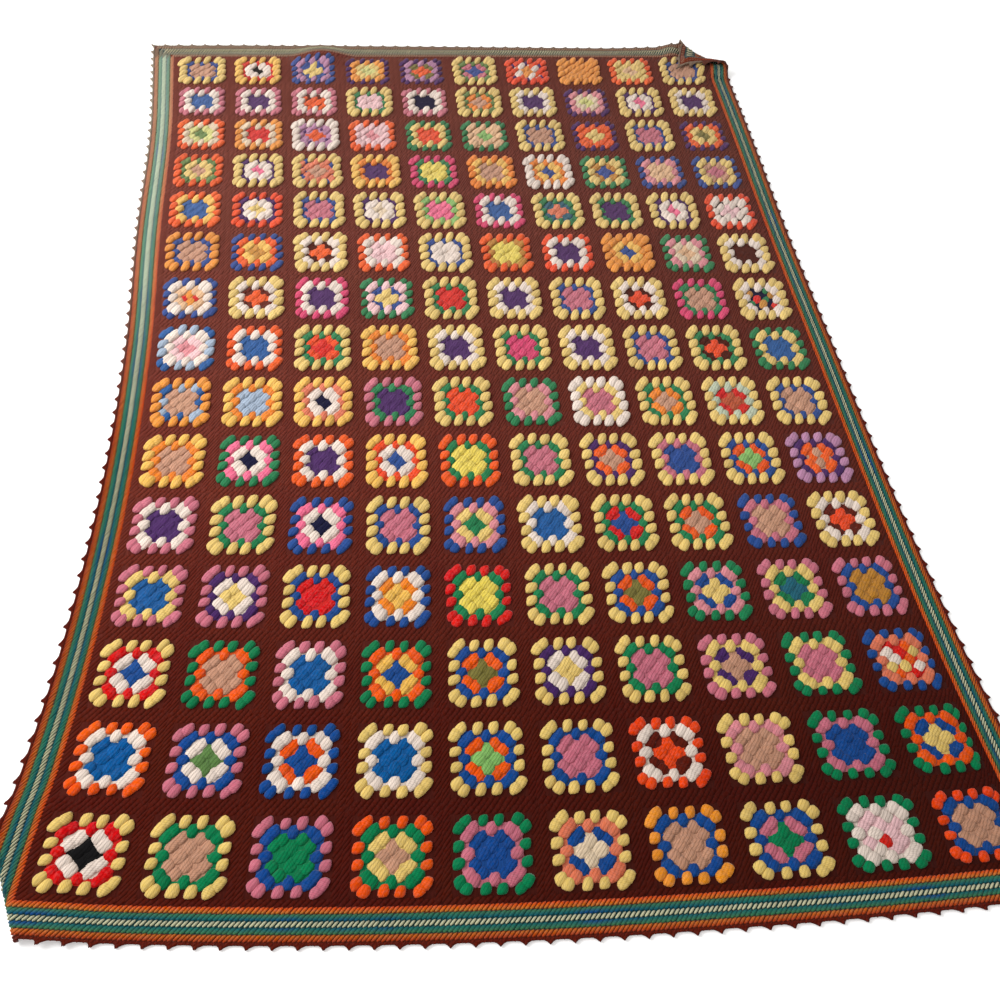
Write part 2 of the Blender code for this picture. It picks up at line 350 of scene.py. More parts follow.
def lit_joining_dye(u, v):
    """The dark brown that joins the squares, with painted light: paler towards the far end as a painted haze
    of light, lighter on the left, and darker towards the right and the near end as painted shade.
    """
    # a painted haze of light towards the far end, and painted shade towards the right and the near end
    tone = YARNS["X"] + (BROWN_PAINTED_HAZE - YARNS["X"]) * BROWN_PAINTED_HAZE_BY * far_along(v)
    near = 1 - come(v, -0.8, -0.3)
    return tone * (1.02 - 0.26 * to_the_right(u) - 0.35 * near) * (1 - 0.10 * (1 - come(v, -0.8, -0.2)))


class Strand:
    """A value in a material. Sums written with it add Math nodes."""

    def __init__(self, recipe, socket):
        self.recipe, self.socket = recipe, socket

    def sum(self, operation, *values):
        return self.recipe.node("ShaderNodeMath", {"operation": operation}, dict(enumerate(values)))

    def __add__(self, other):
        return self.sum("ADD", self, other)

    def __sub__(self, other):
        return self.sum("SUBTRACT", self, other)

    def __rsub__(self, other):
        return self.sum("SUBTRACT", other, self)

    def __mul__(self, other):
        return self.sum("MULTIPLY", self, other)

    def __pow__(self, other):
        return self.sum("POWER", self, other)

    def __abs__(self):
        return self.sum("ABSOLUTE", self)

    def sine(self):
        return self.sum("SINE", self)

    def largest(self, other):
        return self.sum("MAXIMUM", self, other)

    def smallest(self, other):
        return self.sum("MINIMUM", self, other)

    def under(self, limit):
        return self.sum("LESS_THAN", self, limit)

    def over(self, limit):
        return self.sum("GREATER_THAN", self, limit)

    __radd__, __rmul__ = __add__, __mul__


class Recipe:
    """A material's nodes."""

    def __init__(self, name):
        self.material = bpy.data.materials.new(name)
        self.material.use_nodes = True
        self.material.node_tree.nodes.clear()

    def node(self, kind, settings, values, output=0):
        tree = self.material.node_tree
        made = tree.nodes.new(kind)
        for key, value in settings.items():
            if key == "stops":
                while len(made.color_ramp.elements) < len(value):
                    made.color_ramp.elements.new(1)
                for element, (place, colour) in zip(made.color_ramp.elements, value):
                    element.position, element.color = place, (*colour, 1)
            else:
                setattr(made, key, value)
        for key, value in values.items():
            if isinstance(value, Strand):
                tree.links.new(value.socket, made.inputs[key])
            else:
                made.inputs[key].default_value = value
        return Strand(self, made.outputs[output]) if made.outputs else made

    def noise(self, place, scale, detail, roughness=0.5):
        return self.node("ShaderNodeTexNoise", {}, {
            "Vector": place, "Scale": scale, "Detail": detail, "Roughness": roughness}, 0)

    def apart(self, vector, axis):
        """One of a vector's numbers."""
        return self.node("ShaderNodeSeparateXYZ", {}, {0: vector}, axis)

    def dye(self, layer, output="Color"):
        """The colour, or the alpha, that the mesh holds for a yarn."""
        return self.node("ShaderNodeAttribute", {"attribute_name": layer}, {}, output)

    def mix(self, share, first, second, kind="MIX"):
        """Two colours mixed."""
        return self.node("ShaderNodeMix", {"data_type": "RGBA", "blend_type": kind},
                         {0: share, 6: first, 7: second}, 2)


# the way in which every stitch leans: its part across, how much less of that each metre further along,
# and its part along
GRAIN_ACROSS, GRAIN_TURN, GRAIN_ALONG = 0.52, 0.12, 0.85


def grain_at(v):
    """The way in which the stitches lean there: more steeply towards the far end."""
    way = np.array((GRAIN_ACROSS - GRAIN_TURN * v, GRAIN_ALONG))
    return way / math.hypot(*way)


def crocheted(name, posts, gap, lean, pitch, fuzz):
    """Worsted acrylic in a stitch: its posts side by side, two plies twisted in each, loose fibres
    and a soft fuzz. The colour is the mesh's own. gap is how much painted shade darkens it between two
    posts, and lean how much the strands that lean with the grain mark it with painted shade in the
    grooves between them, a pitch apart. The colour's alpha says where they do."""
    r = Recipe(name)
    marked = r.dye("yarn", "Alpha") * lean
    lie = r.node("ShaderNodeUVMap", {"uv_map": "ply"}, {})
    across, along = r.apart(lie, 0), r.apart(lie, 1)
    place = r.node("ShaderNodeTexCoord", {}, {}, "Object")
    east, north = r.apart(place, 0), r.apart(place, 1)
    wander, drift, lot = r.noise(place, 260, 2), r.noise(place, 70, 2), r.noise(place, 9, 3)

    # the strands that lean with the grain, and wider ones in the looser far squares
    slant = (east * GRAIN_ALONG - north * (GRAIN_ACROSS - north * (GRAIN_TURN / 2))) * (math.pi / pitch)
    bend = (drift - 0.5) * 4
    leaning = abs((slant + bend).sine()) ** 0.5
    loose = abs((slant * 0.6 + bend).sine()) ** 0.5
    far = (north * 3 - 0.3).smallest(1).largest(0)
    leaning = leaning + (loose - leaning) * far

    # the posts, and the plies and the fibres in them
    x = across * posts + (wander - 0.5) * 0.35
    post = abs((x * math.pi).sine()) ** 0.6
    ply = (x * 4 * math.pi + along * 26).sine() * 0.5 + 0.5
    fibre = r.noise(r.node("ShaderNodeMapping", {}, {"Vector": lie, "Scale": (34, 4, 1)}), 3, 5, 0.7)

    # painted shade: darker between the posts, and in the grooves between the leaning strands where they mark
    # it
    shade = (1 - gap + gap * post) * (1 - marked + marked * leaning)
    shade = shade * (0.84 + 0.18 * ply) * (0.72 + 0.56 * fibre) * (0.90 + 0.20 * lot)
    tinted = r.node("ShaderNodeHueSaturation", {}, {
        "Hue": 0.494 + 0.012 * lot, "Saturation": 0.9 + 0.2 * wander, "Value": 1, "Color": r.dye("yarn")})
    height = post * (gap * 1.6) + leaning * marked * 1.6 + ply * 0.12 + fibre * 0.24
    bump = r.node("ShaderNodeBump", {}, {"Strength": 0.7, "Distance": 0.001, "Height": height})
    shader = r.node("ShaderNodeBsdfPrincipled", {}, {
        "Base Color": r.mix(1, tinted, shade, "MULTIPLY"), "Roughness": 0.78 + 0.18 * fibre, "Normal": bump,
        "Specular IOR Level": 0.08, "Sheen Weight": fuzz, "Sheen Roughness": 0.35})
    r.node("ShaderNodeOutputMaterial", {}, {"Surface": shader})
    return r.material


def laid_out(piece):
    """The flat mesh's vertices and its faces' middles, as arrays."""
    points = np.empty(len(piece.data.vertices) * 3)
    piece.data.vertices.foreach_get("co", points)
    middles = np.empty(len(piece.data.polygons) * 3)
    piece.data.polygons.foreach_get("center", middles)
    return points.reshape(-1, 3), middles.reshape(-1, 3)


def refine_corners(piece):
    """Cuts a flat piece finer where its corners are turned."""
    bpy.ops.object.mode_set(mode="EDIT")
    bpy.ops.mesh.select_all(action="DESELECT")
    bpy.ops.object.mode_set(mode="OBJECT")
    middles = laid_out(piece)[1]
    near_fold = np.zeros(len(middles), bool)
    for fold in (OVER, UNDER):
        start, along, out, length = crease(fold)
        near_fold |= (middles[:, :2] - start) @ out > -0.02
    piece.data.polygons.foreach_set("select", near_fold)
    bpy.ops.object.mode_set(mode="EDIT")
    bpy.ops.mesh.subdivide(number_cuts=2)
    bpy.ops.object.mode_set(mode="OBJECT")


def paint_faces(piece, name, colours):
    """Gives each face of a piece its yarn's colour."""
    counts = np.empty(len(piece.data.polygons), int)
    piece.data.polygons.foreach_get("loop_total", counts)
    layer = piece.data.color_attributes.new(name, "FLOAT_COLOR", "CORNER")
    rows = np.repeat(np.column_stack([colours, np.ones(len(colours))]), counts, axis=0)
    layer.data.foreach_set("color", rows.ravel())


def map_flat(piece, name, low, high):
    """A map of a flat piece's own plane, over a rectangle from low to high."""
    points = laid_out(piece)[0][:, :2]
    corners = np.empty(len(piece.data.loops), int)
    piece.data.loops.foreach_get("vertex_index", corners)
    layer = piece.data.uv_layers.new(name=name)
    layer.data.foreach_set("uv", ((points[corners] - low) / np.subtract(high, low)).ravel())


def lay(piece):
    """Moves a flat piece's vertices to where the blanket's lie puts them."""
    piece.data.vertices.foreach_set("co", settled(laid_out(piece)[0]).ravel())
    piece.data.update()


def thicken(piece, thickness):
    """Gives a sheet its thickness, half on each side."""
    bpy.context.view_layer.objects.active = piece
    solid = piece.modifiers.new("thickness", "SOLIDIFY")
    solid.thickness, solid.offset = thickness, 0
    bpy.ops.object.modifier_apply(modifier=solid.name)
    piece.data.shade_smooth()


# what shows between the clusters, in millimetres from a square's middle: the diamond of the first
# round with its four points, the second round's corners and the frame of the third
DIAMOND, POINT_REACH, POINT_HALF = 20, 23, 6
CORNER_FROM, CORNER_REACH, FRAME_REACH = 3.5, 30, 40


def ground_recipe():
    """The stitches' feet between the clusters. A square's three inner yarns show there as the rounds
    do, a diamond, four corners and a frame, and past the frame the joining yarn, darkened by their
    strands and, on the whole, by painted shade between the clusters."""
    r = Recipe("ground_stitches")
    lie = r.node("ShaderNodeUVMap", {"uv_map": "square"}, {})
    x, y = abs(r.apart(lie, 0)), abs(r.apart(lie, 1))
    place = r.node("ShaderNodeTexCoord", {}, {}, "Object")
    rough = r.noise(place, 170, 3)
    wobble = (rough - 0.5) * 6
    from_middle, from_axis = x.largest(y) + wobble, x.smallest(y) + wobble

    in_corner = from_axis.over(CORNER_FROM) * from_middle.under(CORNER_REACH)
    colour = r.mix(in_corner, r.dye("yarn_3"), r.dye("yarn_2"))
    point = from_middle.under(POINT_REACH) * from_axis.under(POINT_HALF)
    colour = r.mix((x + y + wobble).under(DIAMOND).largest(point), colour, r.dye("yarn_1"))
    colour = r.mix(from_middle.over(FRAME_REACH), colour, r.dye("yarn_5"))

    slope = r.node("ShaderNodeMapping", {}, {
        "Vector": place, "Rotation": (0, 0, math.radians(-38)), "Scale": (330, 60, 60)})
    strand = r.noise(slope, 1, 3)
    # the strands darken it, and on the whole it stays darker than the clusters: painted shade between them
    colour = r.mix(1, colour, 0.50 + 0.55 * strand, "MULTIPLY")
    bump = r.node("ShaderNodeBump", {}, {"Strength": 0.8, "Distance": 0.002, "Height": strand + rough * 0.4})
    shader = r.node("ShaderNodeBsdfPrincipled", {}, {
        "Base Color": colour, "Roughness": 0.8 + 0.15 * rough, "Normal": bump, "Specular IOR Level": 0.1,
        "Sheen Weight": 0.04})
    r.node("ShaderNodeOutputMaterial", {}, {"Surface": shader})
    return r.material


bpy.ops.object.select_all(action="DESELECT")
CELLS = 6  # in a square
bpy.ops.mesh.primitive_grid_add(x_subdivisions=COLUMNS * CELLS, y_subdivisions=ROWS * CELLS, size=2)
ground = bpy.context.object
ground.name = "square_ground"
bpy.ops.object.mode_set(mode="EDIT")
bpy.ops.transform.resize(value=(FIELD_U, FIELD_V, 1))
bpy.ops.object.mode_set(mode="OBJECT")
refine_corners(ground)
cells = laid_out(ground)[1][:, :2] + (FIELD_U, FIELD_V)
squares = np.clip((cells // SQUARE).astype(int), 0, (COLUMNS - 1, ROWS - 1))
cell_u, cell_v = cells[:, :1] - FIELD_U, cells[:, 1:2] - FIELD_V
for ring in (1, 2, 3):
    shown = np.array([yarn(square, ring) for square in squares])
    paint_faces(ground, f"yarn_{ring}", with_painted_light(shown, cell_u, cell_v))
paint_faces(ground, "yarn_5", lit_joining_dye(cell_u, cell_v))
map_flat(ground, "OFBake", (-FIELD_U, -FIELD_V), (FIELD_U, FIELD_V))
# how far a face's corners are from their square's middle, in millimetres
corner_points = np.empty(len(ground.data.loops), int)
ground.data.loops.foreach_get("vertex_index", corner_points)
face_of = np.repeat(np.arange(len(cells)), [len(face.vertices) for face in ground.data.polygons])
from_middle = laid_out(ground)[0][corner_points, :2] + (FIELD_U, FIELD_V)
from_middle = (from_middle - (squares[face_of] + 0.5) * SQUARE) * 1000
ground.data.uv_layers.new(name="square").data.foreach_set("uv", from_middle.ravel())
lay(ground)
thicken(ground, GROUND)
ground.data.materials.append(ground_recipe())
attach(ground, "root")
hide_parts("field")

# ---------------------------------------------------------------------------
# The clusters of the squares: three double crochets each, worked into the
# gap below, two of them in each corner. Five rounds make a square, and the
# fifth is the dark brown that joins it to its neighbours.
# ---------------------------------------------------------------------------
# on a side of each round: the clusters' spacing, how much further along its corner clusters lie, the
# middles' distance out, a cluster's length, width and thickness, and how far the leaning strands mark it
ROUNDS = (
    (0.0000, 0.0000, 0.0108, 0.0190, 0.0195, 0.0050, 1.0),
    (0.0246, 0.0000, 0.0220, 0.0150, 0.0165, 0.0056, 1.0),
    (0.0235, 0.0010, 0.0320, 0.0168, 0.0160, 0.0070, 0.8),
    (0.0215, 0.0020, 0.0430, 0.0172, 0.0158, 0.0084, 0.65),
)
# the slant and the extra width of a corner's clusters
CORNER_SLANT, CORNER_WIDTH = (0, 1, 0.6, 0.6), 0.12
# every cluster is drawn out along the grain and in across it, from the way it was worked, and
# FAR_STRETCH and FAR_SQUEEZE times that is added at the far end
STRETCH, SQUEEZE = 0.35, 0.11
FAR_STRETCH, FAR_SQUEEZE = 0.4, 1.2
# how much loftier than the usual a black and a white yarn are, and how much of that shows near by
BLACK_LOFT, WHITE_LOFT, NEAR_LOFT = -0.31, 0.25, 0.3
LOOSER = 0.05  # how much plumper each round after the second is at the far end
TIGHTER = 0.10  # how much smaller the fourth round's clusters are at the near end
REACH_IN = 0.020  # how far a lofty second round reaches in over the first
# how high the middle of a cluster of the usual thickness is. A thicker one has the same underside
RISE, USUAL_THICKNESS = 0.0004, 0.0052
# the joining round: its posts on a side, how far out they are, their length out of the square, their
# thickness, and their width as a share of their pitch
POSTS, JOINING_OUT, JOINING_LENGTH, JOINING_THICKNESS, JOINING_WIDTH = 15, 0.0584, 0.0188, 0.0036, 1.35
POST_PITCH = SQUARE / (POSTS + 0.5)
# the ways out of a square: far, right, near, left
WAYS_OUT = np.array(((0.0, 1.0), (1.0, 0.0), (0.0, -1.0), (-1.0, 0.0)))
# how much the work varies by hand: a stitch's dye and size, a cluster's turn and place, a post's place
UNEVEN, UNEVEN_TURN, UNEVEN_PLACE, UNEVEN_POST = 0.05, 0.07, 0.0006, 0.0004
chance = np.random.default_rng(11)


def lying_ball(segments, rings):
    """A ball of unit size whose poles are the two ends of its length."""
    bpy.ops.object.select_all(action="DESELECT")
    bpy.ops.mesh.primitive_uv_sphere_add(segments=segments, ring_count=rings, radius=0.5)
    bpy.ops.object.mode_set(mode="EDIT")
    bpy.ops.transform.rotate(value=math.radians(-90), orient_axis="X", center_override=(0, 0, 0))
    bpy.ops.object.mode_set(mode="OBJECT")
    return bpy.context.object


def model_cluster():
    """One cluster, unit wide, long and thick: three posts side by side, drawn together at its start."""
    cluster = lying_ball(8, 6)
    for vertex in cluster.data.vertices:
        x, y, z = vertex.co
        if math.hypot(x, z) < 0.01:
            continue
        # full, round ends, a narrower start, and a shallow valley between each two posts
        full = (0.5, 0.47, 0.34)[round(abs(y) / 0.2)] / math.hypot(x, z)
        valley = 1 - 0.06 * math.cos(3 * math.atan2(z, x)) ** 2 * (abs(z) > 0.1)
        vertex.co.x = x * full * (1 + 0.16 * y)
        vertex.co.z = z * full * valley
    return cluster


def prototype(model):
    """A model's points, its faces, and each face corner's place in a cell of the bake map,
    with the top in the cell's left half and the underside in its right half."""
    points = laid_out(model)[0]
    faces = [tuple(face.vertices) for face in model.data.polygons]
    cell, ply = [], []
    for face in model.data.polygons:
        under = face.normal.z < 0
        for vertex in face.vertices:
            x, y, z = points[vertex]
            cell.append((0.03 + 0.44 * (x + 0.5) + 0.5 * under, 0.04 + 0.92 * (y + 0.5)))
            ply.append((x + 0.5, y + 0.5))
    bpy.data.objects.remove(model)
    return points, faces, np.clip(cell, 0.01, 0.99), np.array(ply)


def repeat(name, model, placed, colours, marks):
    """Joins many copies of a small model into one piece. placed holds, for each copy, its points in
    the flat blanket, colours each point's yarn, and marks how far the leaning strands mark the copy.
    Every copy has a cell of its own in the bake map."""
    points, faces, cell, ply = model
    count, size = len(placed), len(points)
    mesh = bpy.data.meshes.new(name)
    corners = np.concatenate([np.array(face) for face in faces])
    lengths = np.array([len(face) for face in faces])
    every = (corners[None, :] + np.arange(count)[:, None] * size).ravel()
    starts = np.cumsum(np.concatenate([[0], np.tile(lengths, count)[:-1]]))
    mesh.vertices.add(count * size)
    mesh.vertices.foreach_set("co", settled(placed.reshape(-1, 3)).ravel())
    mesh.loops.add(len(every))
    mesh.loops.foreach_set("vertex_index", every)
    mesh.polygons.add(count * len(faces))
    mesh.polygons.foreach_set("loop_start", starts)
    mesh.update(calc_edges=True)
    yarn_layer = mesh.color_attributes.new("yarn", "FLOAT_COLOR", "POINT")
    flat = colours.reshape(-1, 3)
    marked = np.repeat(np.broadcast_to(marks, count), size)
    yarn_layer.data.foreach_set("color", np.column_stack([flat, marked]).ravel())
    across = math.ceil(count**0.5)
    index = np.arange(count)
    own_cell = np.stack([index % across, index // across], axis=1)[:, None, :] + cell[None]
    mesh.uv_layers.new(name="OFBake").data.foreach_set("uv", (own_cell / across).ravel())
    shift = chance.random((count, 1, 2)) * (0, 7)
    mesh.uv_layers.new(name="ply").data.foreach_set("uv", (ply[None] + shift).ravel())
    mesh.shade_smooth()
    piece = bpy.data.objects.new(name, mesh)
    bpy.context.scene.collection.objects.link(piece)
    return piece


def beside(way):
    """The way to the right of a way."""
    return np.array((way[1], -way[0]))


def leaning_out(v, out):
    """The grain's way, turned to point out."""
    grain = grain_at(v)
    return grain * (1 if grain @ out > 0 else -1)


def placed_along(points, middle, across, way, size, rise):
    """A model's points, laid with its length along way about a middle in the flat blanket."""
    width, length, thickness = size
    spot = middle + points[:, :1] * width * across + points[:, 1:2] * length * way
    return np.column_stack([spot, rise + points[:, 2] * thickness])


def with_grain(points, spot, amount):
    """Draws a cluster's flat points out along the grain, about its middle."""
    grain = grain_at(spot[1])
    across_grain = beside(grain)
    flat = points[:, :2] - spot
    far = come(spot[1], -0.4, 0.8)
    longer = amount * STRETCH * (1 + FAR_STRETCH * far) * (flat @ grain)[:, None] * grain
    narrower = amount * SQUEEZE * (1 + FAR_SQUEEZE * far) * (flat @ across_grain)[:, None] * across_grain
    return np.column_stack([spot + (flat + longer - narrower), points[:, 2]])


cluster = prototype(model_cluster())
post = prototype(lying_ball(6, 3))
cluster_yarn = crocheted("cluster_yarn", 3, 0.12, 0.42, 0.0050, 0.18)
joining_yarn = crocheted("joining_yarn", 1, 0.05, 0.05, 0.0042, 0.0)


def work_cluster(square, middle, side, ring, k):
    """The points of one cluster of a square's round, its yarn's colour at each, and how far the
    leaning strands mark it."""
    spacing, shift, far_out, length, width, thick, mark = ROUNDS[ring - 1]
    out = WAYS_OUT[side]
    along = beside(out)
    # the two clusters of a corner lie side by side and point out of it
    corner = (ring > 1) * (int(k == ring - 1) - int(k == 0))
    slant = corner * CORNER_SLANT[ring - 1]
    way = (out + slant * along) / math.hypot(1, slant)
    turn = chance.normal(0, UNEVEN_TURN)
    way = way * math.cos(turn) + beside(way) * math.sin(turn)
    spot = middle + out * far_out + along * ((k - (ring - 1) / 2) * spacing + corner * shift)
    spot = spot + chance.normal(0, UNEVEN_PLACE, 2)
    far, near = come(spot[1], -0.7, 0.5), 1 - come(spot[1], -0.8, -0.35)

    # the pale yarns are loftier, and a pale second round reaches in over a dark first one
    tone = with_painted_light(yarn(square, ring, side * ring + k), *spot) * chance.normal(1, UNEVEN)
    loft = BLACK_LOFT + (WHITE_LOFT - BLACK_LOFT) * (tone @ LIGHTNESS) ** 0.5
    loft = 1 + loft * (NEAR_LOFT + (1 - NEAR_LOFT) * far)
    if ring < 3:
        spot = spot + way * (loft - 1) * (REACH_IN if ring == 1 else -REACH_IN)

    plump = (1 + LOOSER * max(ring - 2, 0) * far) * (2 * loft - 1 if ring == 2 else loft)
    plump = plump * (1 - TIGHTER * near * (ring == 4))
    size = np.array((width * (1 + CORNER_WIDTH * abs(corner)) * plump, length * plump, thick * loft**1.5))
    size = size * chance.normal(1, UNEVEN, 3)
    laid = placed_along(cluster[0], spot, beside(way), way, size, RISE + (size[2] - USUAL_THICKNESS) / 2)
    # the grain is weak at the near end, apart from the corners, and weakest on its right
    weak = come(spot[0], -0.45, 0.45) * (1 - come(spot[1], -0.9, -0.3))
    laid = with_grain(laid, spot, 1 - max(0.7 * weak, 0.4 * near * (ring < 4 or corner == 0)))
    # a cluster is a little darker where it starts: painted shade at its foot
    painted_foot_shade = 0.88 + 0.12 * come(cluster[0][:, 1], -0.5, -0.1)
    return laid, tone[None, :] * painted_foot_shade[:, None], mark + (1 - mark) * far


for column in range(COLUMNS):
    placed, colours, marks, joined, browns = [], [], [], [], []
    for row in range(ROWS):
        middle = np.array((column + 0.5, row + 0.5)) * SQUARE - (FIELD_U, FIELD_V)
        for side, out in enumerate(WAYS_OUT):
            for ring in range(1, len(ROUNDS) + 1):
                for k in range(ring):
                    laid, dyes, mark = work_cluster((column, row), middle, side, ring, k)
                    placed.append(laid)
                    colours.append(dyes)
                    marks.append(mark)
            along, way = beside(out), leaning_out(middle[1], out)
            for k in range(POSTS):
                spot = middle + out * JOINING_OUT + along * (k - POSTS // 2) * POST_PITCH
                spot = spot + chance.normal(0, UNEVEN_POST, 2)
                size = (POST_PITCH * JOINING_WIDTH, JOINING_LENGTH / abs(way @ out), JOINING_THICKNESS)
                size = np.array(size) * chance.normal(1, UNEVEN, 3)
                joined.append(placed_along(post[0], spot, along, way, size, 0.0001))
                browns.append(np.tile(lit_joining_dye(*spot) * chance.normal(1, UNEVEN), (len(post[0]), 1)))
    for name, model, spots, tones, marked, stuff in (
            ("squares_column_", cluster, placed, colours, marks, cluster_yarn),
            ("joining_round_", post, joined, browns, 1, joining_yarn)):
        piece = repeat(name + str(column + 1), model, np.array(spots), np.array(tones), marked)
        piece.data.materials.append(stuff)
        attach(piece, "root")

# ---------------------------------------------------------------------------
# The border: five rounds of double crochet in worsted yarn, worked round and
# round outside the squares, with mitred corners. The stripes are orange,
# teal, cream, teal and rust, and the teal yarn is dyed from green to blue.
# ---------------------------------------------------------------------------
# each round's width, its stitches' pitch, a strand's width and thickness, then its yarn where the
# stitch starts, halfway and where it ends
STRIPES = (
    (0.0090, 0.0058, 0.0064, 0.0050, dyed(196, 66, 26), dyed(220, 92, 36), dyed(150, 122, 54)),
    (0.0090, 0.0062, 0.0084, 0.0042, dyed(76, 116, 64), dyed(22, 98, 94), dyed(20, 78, 104)),
    # the cream round's greyer start and end: painted shade at the two ends of its stitches
    (0.0080, 0.0061, 0.0053, 0.0056, dyed(150, 150, 132), dyed(208, 206, 170), dyed(176, 176, 142)),
    (0.0090, 0.0062, 0.0084, 0.0042, dyed(20, 84, 100), dyed(28, 104, 92), dyed(78, 116, 62)),
    (0.0095, 0.0058, 0.0064, 0.0050, dyed(168, 112, 44), dyed(202, 84, 38), dyed(120, 38, 24)),
)
# the ground between each round's stitches: darker yarns, as painted shade in the gaps
SHADED_GAPS = (dyed(120, 50, 24), dyed(14, 58, 62), dyed(24, 62, 62), dyed(14, 58, 62), dyed(110, 44, 24))
OVERLAP = 1.18  # a stitch's length, against its round's width
# the cream stitches of the far side are thin, and reach over the teal ones: their size against the rest,
#  and their dye, brightened against the rest as painted light
FAR_CREAM_SIZE, FAR_CREAM_PAINTED_LIGHT = (0.66, 2.3, 1.3), (1.2, 1.1, 1.1)
# those of the left side are longer and thicker towards the far end, and tinged with mint
MINT, MINT_TINGE, MINT_LONGER, MINT_THICKER = np.array((0.56, 0.66, 0.56)), 0.64, 0.4, 0.16
# the painted haze of light that the border's dyes are drawn towards, and the brownish grey one along the far
# side
BORDER_PAINTED_HAZE, FAR_SIDE_PAINTED_HAZE = np.array((0.42, 0.48, 0.37)), np.array((0.24, 0.18, 0.13))
UNEVEN_ROUND, UNEVEN_ROUND_PLACE = 0.04, 0.0002


def mitred(quarter, t, d):
    """A flat point of the border: t goes along a side from -1 to 1, and d is how far out of the squares."""
    half, out = (FIELD_U, FIELD_V) if quarter % 2 == 0 else (FIELD_V, FIELD_U)
    point = np.stack([t * (half + d), out + d + 0 * t], axis=-1)
    for _ in range(quarter):
        point = np.stack([point[..., 1], -point[..., 0]], axis=-1)
    return point


def ring_strip(name, steps, levels, outline):
    """A flat ring of four mitred strips. outline gives how far out a station's level is."""
    sides = []
    for quarter in range(4):
        bpy.ops.object.select_all(action="DESELECT")
        bpy.ops.mesh.primitive_grid_add(x_subdivisions=steps[quarter % 2], y_subdivisions=levels, size=2)
        side = bpy.context.object
        points = laid_out(side)[0]
        t, level = points[:, 0], np.rint((points[:, 1] + 1) / 2 * levels).astype(int)
        points[:, :2] = mitred(quarter, t, outline(quarter, t, level))
        side.data.vertices.foreach_set("co", points.ravel())
        sides.append(side)
    for side in sides:
        side.select_set(True)
    bpy.ops.object.join()
    ring = bpy.context.object
    ring.name = name
    bpy.ops.object.mode_set(mode="EDIT")
    bpy.ops.mesh.select_all(action="SELECT")
    bpy.ops.mesh.remove_doubles(threshold=0.00001)
    bpy.ops.mesh.normals_make_consistent(inside=False)
    bpy.ops.object.mode_set(mode="OBJECT")
    return ring


STEPS = (100, 150)  # cells along a short and a long side
edges = np.cumsum([0] + [stripe[0] for stripe in STRIPES])
band = ring_strip("border_ground", STEPS, len(STRIPES), lambda quarter, t, level: edges[level])
refine_corners(band)
out_by = abs(laid_out(band)[1][:, :2]) - (FIELD_U, FIELD_V)
which = np.clip(np.searchsorted(edges, out_by.max(axis=1)) - 1, 0, len(STRIPES) - 1)
paint_faces(band, "yarn", np.array(SHADED_GAPS)[which])
map_flat(band, "OFBake", (-EDGE_U, -EDGE_V), (EDGE_U, EDGE_V))
map_flat(band, "ply", (0, 0), (SQUARE / 2, SQUARE / 2))
lay(band)
thicken(band, GROUND)
band.data.materials.append(crocheted("border_ground_stitches", 12, 0.35, 0.2, 0.0052, 0.15))
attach(band, "root")
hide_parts("border")


def with_painted_haze(tone, u, v):
    """The border's dyes with painted light: paler towards the far left and brighter at its far left end, as
    a painted haze of light, and brownish grey along the far side, as a painted haze seen there."""
    # painted haze of light: paler towards the far left, brighter at the far left end, brownish grey along
    # the far side
    pale = 0.22 * come(v, -0.2, 0.7) * (1 - 0.7 * u / EDGE_U)
    tone = tone + (BORDER_PAINTED_HAZE - tone) * pale
    tone = tone * (1 + 0.4 * come(-u / EDGE_U, 0.75, 1) * come(v, -0.3, 0.2))
    return tone + (FAR_SIDE_PAINTED_HAZE - tone) * 0.75 * come(v, FIELD_V - 0.004, FIELD_V + 0.002)


def steady(tone, outward, place):
    return tone


def teal_drift(side):
    """The teal yarn, dyed in stretches of green and blue. The blue shows on the side of the cream round."""
    def drift(tone, outward, place):
        wave = math.sin(place * 23 + 1) + 0.7 * math.sin(place * 61 + 2) + 0.5 * math.sin(place * 137 + 3)
        by_cream = outward if side == "inner" else 1 - outward
        blue = max(wave - 0.5, 0) * 0.6 * come(by_cream, 0.35, 0.85)
        green = max(-wave - 0.2, 0) * 0.15
        tone = tone + (dyed(20, 60, 132) - tone) * np.minimum(blue, 0.8)
        return tone + (dyed(34, 118, 84) - tone) * min(green, 0.6)
    return drift


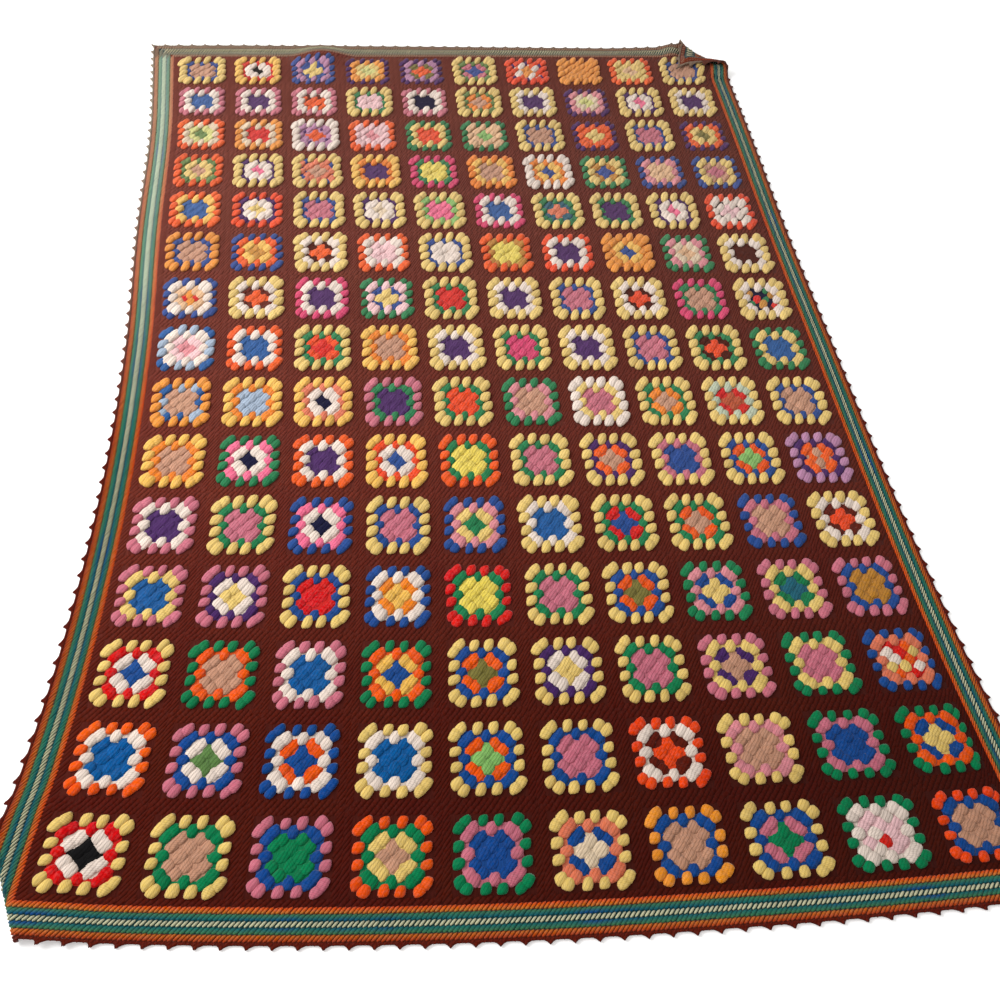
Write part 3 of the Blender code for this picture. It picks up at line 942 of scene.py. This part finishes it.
def round_of_stitches(name, inner, stripe, drift):
    """A round of posts, all leaning with the grain. drift changes its dye from place to place."""
    width, pitch, strand, thick, start_dye, middle_dye, end_dye = stripe
    share = (post[0][:, 1:2] + 0.5) * 2
    dyes = np.where(share < 1, start_dye + (middle_dye - start_dye) * share,
                    middle_dye + (end_dye - middle_dye) * (share - 1))
    placed, colours = [], []
    for quarter, out in enumerate(WAYS_OUT):
        half = (FIELD_U, FIELD_V)[quarter % 2] + inner + width / 2
        count = round(2 * half / pitch)
        over = name.endswith("cream") and quarter == 0
        minty = name.endswith("cream") and quarter == 3
        for k in range(count):
            t = (2 * k + 1) / count - 1
            spot = mitred(quarter, np.array([t]), inner + width / 2)[0]
            spot = spot + chance.normal(0, UNEVEN_ROUND_PLACE, 2)
            way = leaning_out(spot[1], out)
            mint = minty * come(spot[1], -0.4, 0.2)
            size = np.array((strand, width * OVERLAP / abs(way @ out), thick))
            size = size * (FAR_CREAM_SIZE if over else (1, 1 + MINT_LONGER * mint, 1 + MINT_THICKER * mint))
            size = size * chance.normal(1, UNEVEN_ROUND, 3)
            placed.append(placed_along(post[0], spot, beside(out), way, size, 0.0006))
            tone = drift(dyes, share / 2, quarter + t / 2) * chance.normal(1, UNEVEN_ROUND)
            tone = tone + (MINT - tone) * MINT_TINGE * mint
            # the far side's cream gets its painted light in place of the painted haze
            colours.append(np.clip(tone * FAR_CREAM_PAINTED_LIGHT if over else with_painted_haze(tone, *spot), 0, 1))
    piece = repeat(name, post, np.array(placed), np.array(colours), 1)
    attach(piece, "root")
    return piece


border_yarn = crocheted("border_yarn", 1, 0.25, 0.12, 0.0052, 0.1)
rounds = (("orange", steady), ("inner_teal", teal_drift("inner")), ("cream", steady),
          ("outer_teal", teal_drift("outer")), ("rust", steady))
for k, (name, drift) in enumerate(rounds):
    piece = round_of_stitches("border_round_" + name, edges[k], STRIPES[k], drift)
    piece.data.materials.append(border_yarn)

# ---------------------------------------------------------------------------
# The edging: a last round of single crochet in dark brown, with a picot of
# three chains after every fourth stitch and a shallow arc between two picots.
# ---------------------------------------------------------------------------
PICOT, PICOT_PITCH, PICOT_STEPS = 0.0065, 0.0295, 8  # its reach, the pitch, and the cells for each
EDGE_STITCH, PICOT_CHAIN = (0.0046, 0.0062, 0.0044), (0.0046, 0.0064, 0.0040)
picots = (round(2 * EDGE_U / PICOT_PITCH), round(2 * EDGE_V / PICOT_PITCH))


def arched(quarter, t, level):
    """How far out the edging reaches at its inner edge, halfway and at its outer edge."""
    apart = abs((t + 1) / 2 * picots[quarter % 2] % 1 - 0.5) * 2
    reach = EDGING + PICOT * 0.95 * come(apart, 0.4, 1) ** 1.8
    return BAND + np.where(level == 0, 0.0003, reach * level / 2)


edge = ring_strip("edging_ground", (picots[0] * PICOT_STEPS, picots[1] * PICOT_STEPS), 2, arched)
# the edging's ground is its brown darkened: painted shade between its stitches
paint_faces(edge, "yarn", np.array([with_painted_haze(0.8 * YARNS["X"], *spot[:2]) for spot in laid_out(edge)[1]]))
map_flat(edge, "OFBake", (-EDGE_U - PICOT, -EDGE_V - PICOT), (EDGE_U + PICOT, EDGE_V + PICOT))
map_flat(edge, "ply", (0, 0), (SQUARE / 2, SQUARE / 2))
lay(edge)
thicken(edge, 0.0028)
edge.data.materials.append(crocheted("edging_stitches", 12, 0.2, 0.3, 0.0052, 0.1))
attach(edge, "root")
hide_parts("edging")

placed = []
for quarter, out in enumerate(WAYS_OUT):
    count = picots[quarter % 2]
    for k in range(4 * count):
        t = (k + 0.5) / (2 * count) - 1
        spot = mitred(quarter, np.array([t]), BAND + EDGING * 0.55)[0]
        size = np.array(EDGE_STITCH) * chance.normal(1, 0.05, 3)
        placed.append(placed_along(post[0], spot, beside(out), leaning_out(spot[1], out), size, 0.0003))
    for k in range(count):
        t = 2 * k / count - 1
        # the first one of a side points out of its corner, apart from the far side's
        tip = out + WAYS_OUT[quarter - 1] if quarter and k == 0 else out
        tip = tip / math.hypot(*tip)
        spot = mitred(quarter, np.array([t]), BAND + EDGING + PICOT * 0.45)[0]
        size = np.array(PICOT_CHAIN) * chance.normal(1, 0.06, 3)
        placed.append(placed_along(post[0], spot, beside(tip), tip, size, 0.0003))
colours = []
for copy in placed:
    tone = with_painted_haze(YARNS["X"], *copy[:, :2].mean(axis=0)) * chance.normal(0.95, 0.06)
    colours.append(np.tile(tone, (len(copy), 1)))
picot_round = repeat("picot_round", post, np.array(placed), np.array(colours), 1)
picot_round.data.materials.append(border_yarn)
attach(picot_round, "root")
